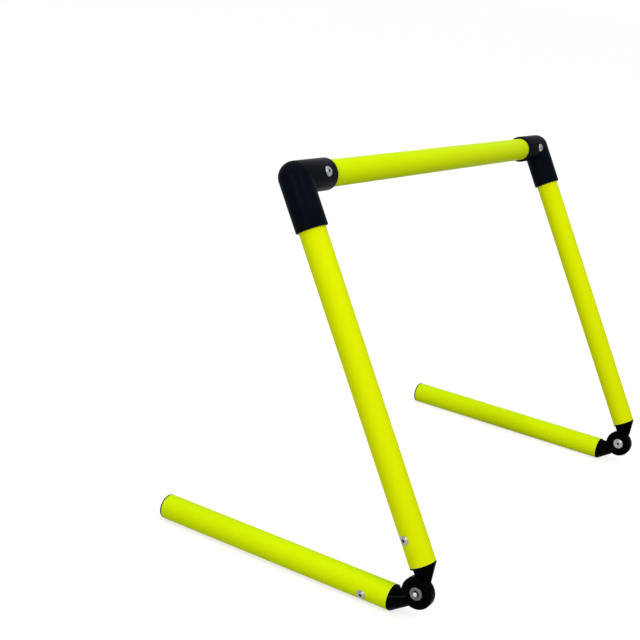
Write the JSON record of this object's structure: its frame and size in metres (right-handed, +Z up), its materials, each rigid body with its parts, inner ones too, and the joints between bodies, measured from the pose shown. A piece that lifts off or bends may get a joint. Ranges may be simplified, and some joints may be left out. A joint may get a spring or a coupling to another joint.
{
  "type": "speed hurdle",
  "caption": "Low training hurdle: a leaning tube frame of crossbar and uprights with corner elbows, riveted to hinged feet that fold flat, set on the floor to be jumped over.",
  "frame": {"origin": "on the floor, midway between the feet and midway along their length", "axes": "+Z up, +X along the crossbar from the left hinge to the right hinge, +Y from the hinges along the feet to their tips"},
  "size_m": [0.5498, 0.3046, 0.3817],
  "materials": {
    "tube": "satin fluorescent yellow-green",
    "elbow": "smooth moulded black",
    "hinge": "moulded black",
    "cap": "moulded black",
    "rivet": "bright pressed",
    "mandrel": "snapped steel",
    "washer": "plain zinc"
  },
  "bodies": {
    "frame": {"crossbar": "tube", "upright_left": "tube", "upright_right": "tube", "elbow_left": "elbow", "elbow_right": "elbow", "hinge_upright_left": "hinge", "hinge_upright_right": "hinge", "elbow_rivets": "rivet", "elbow_mandrels": "mandrel", "upright_rivets": "rivet", "upright_mandrels": "mandrel", "pivot_rivet_left": "rivet", "pivot_mandrel_left": "mandrel", "pivot_washer_left": "washer", "pivot_rivet_right": "rivet", "pivot_mandrel_right": "mandrel", "pivot_washer_right": "washer"},
    "left_foot": {"foot_left": "tube", "foot_cap_left": "cap", "hinge_foot_left": "hinge", "foot_rivet_left": "rivet", "foot_mandrel_left": "mandrel"},
    "right_foot": {"foot_right": "tube", "foot_cap_right": "cap", "hinge_foot_right": "hinge", "foot_rivet_right": "rivet", "foot_mandrel_right": "mandrel"}
  },
  "joints": [
    {"name": "left_foot_fold", "type": "hinge", "parent": "frame", "child": "left_foot", "pos_m": [-0.26, -0.1367, 0.0269], "axis": [1, 0, 0], "range_deg": [-119, 60]},
    {"name": "right_foot_fold", "type": "hinge", "parent": "frame", "child": "right_foot", "pos_m": [0.26, -0.1367, 0.0269], "axis": [1, 0, 0], "range_deg": [-119, 60]}
  ]
}
